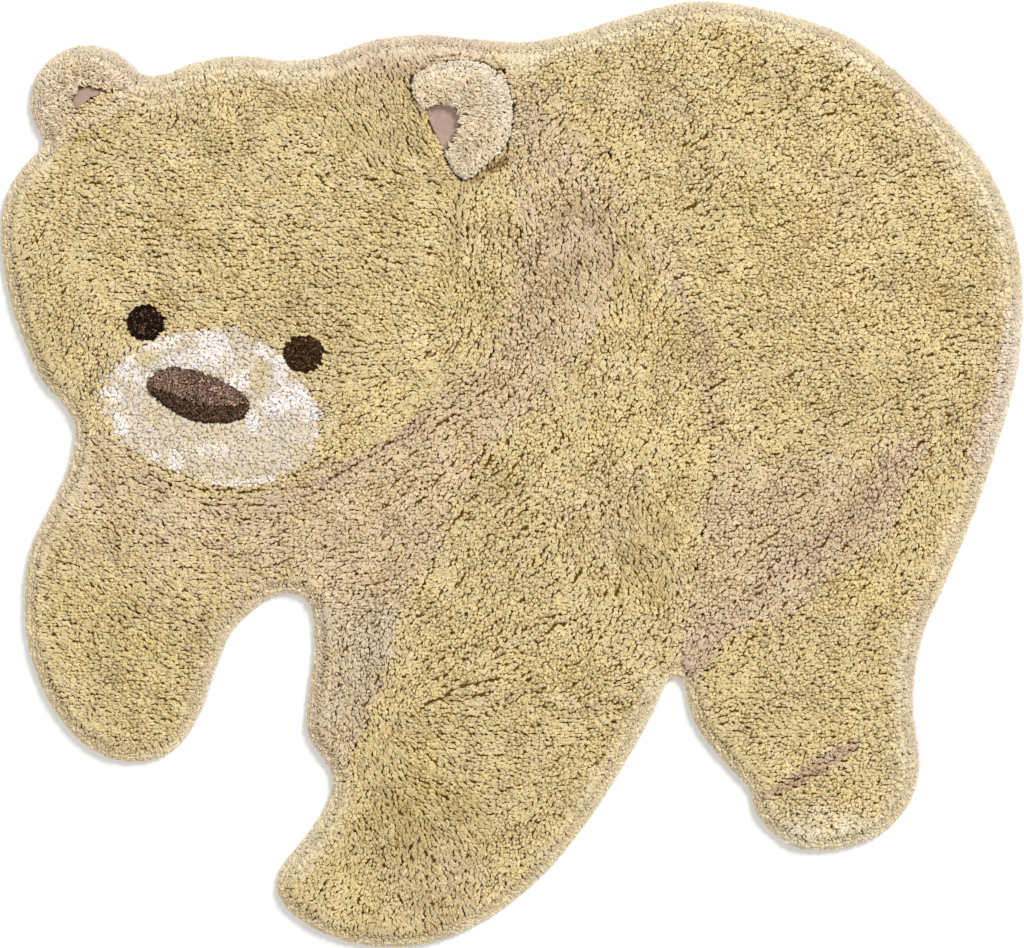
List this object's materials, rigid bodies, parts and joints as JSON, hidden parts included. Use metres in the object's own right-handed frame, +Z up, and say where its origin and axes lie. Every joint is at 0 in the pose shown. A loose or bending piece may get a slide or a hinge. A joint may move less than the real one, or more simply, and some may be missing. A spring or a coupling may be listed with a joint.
{
  "type": "bear shaped kids rug",
  "caption": "Flat tufted rug in the shape of a walking bear, with a thick cut pile in areas of several shades, a raised ear, cloth ear patches and a plain canvas underside.",
  "frame": {"origin": "on the floor, under the middle of the rug's box", "axes": "+X runs from the head to the tail, +Y from the feet to the back, +Z up off the floor, with the pile on top"},
  "size_m": [1.2996, 1.203, 0.0274],
  "materials": {
    "honey_pile": "cut cotton pile, matt",
    "taupe_pile": "cut cotton pile, matt",
    "pink_taupe_pile": "cut cotton pile, matt",
    "tail_pile": "cut cotton pile, matt",
    "ear_pile": "cut cotton pile, matt",
    "muzzle_pile": "cut cotton pile, matt",
    "nose_top_pile": "short dense cut pile, matt",
    "nose_base_pile": "short dense cut pile, matt",
    "eye_pile": "short dense cut pile, matt",
    "ear_cloth": "fine woven cotton cloth, matt",
    "ground_canvas": "plain woven cotton canvas, matt"
  },
  "bodies": {
    "root": {"ground_cloth": "ground_canvas", "near_ear_pile": "ear_pile", "near_ear_patch": "ear_cloth", "far_ear_pile": "ear_pile", "far_ear_patch": "ear_cloth", "left_eye_pile": "eye_pile", "right_eye_pile": "eye_pile", "nose_top_pile": "nose_top_pile", "nose_base_pile": "nose_base_pile", "muzzle_pile": "muzzle_pile", "head_pile": "honey_pile", "inner_leg_pile": "pink_taupe_pile", "far_foreleg_pile": "honey_pile", "neck_pile": "taupe_pile", "tail_pile": "tail_pile", "ankle_pile": "pink_taupe_pile", "belly_pile": "pink_taupe_pile", "near_foreleg_pile": "honey_pile", "hind_leg_pile": "honey_pile", "back_pile": "honey_pile"}
  },
  "joints": []
}
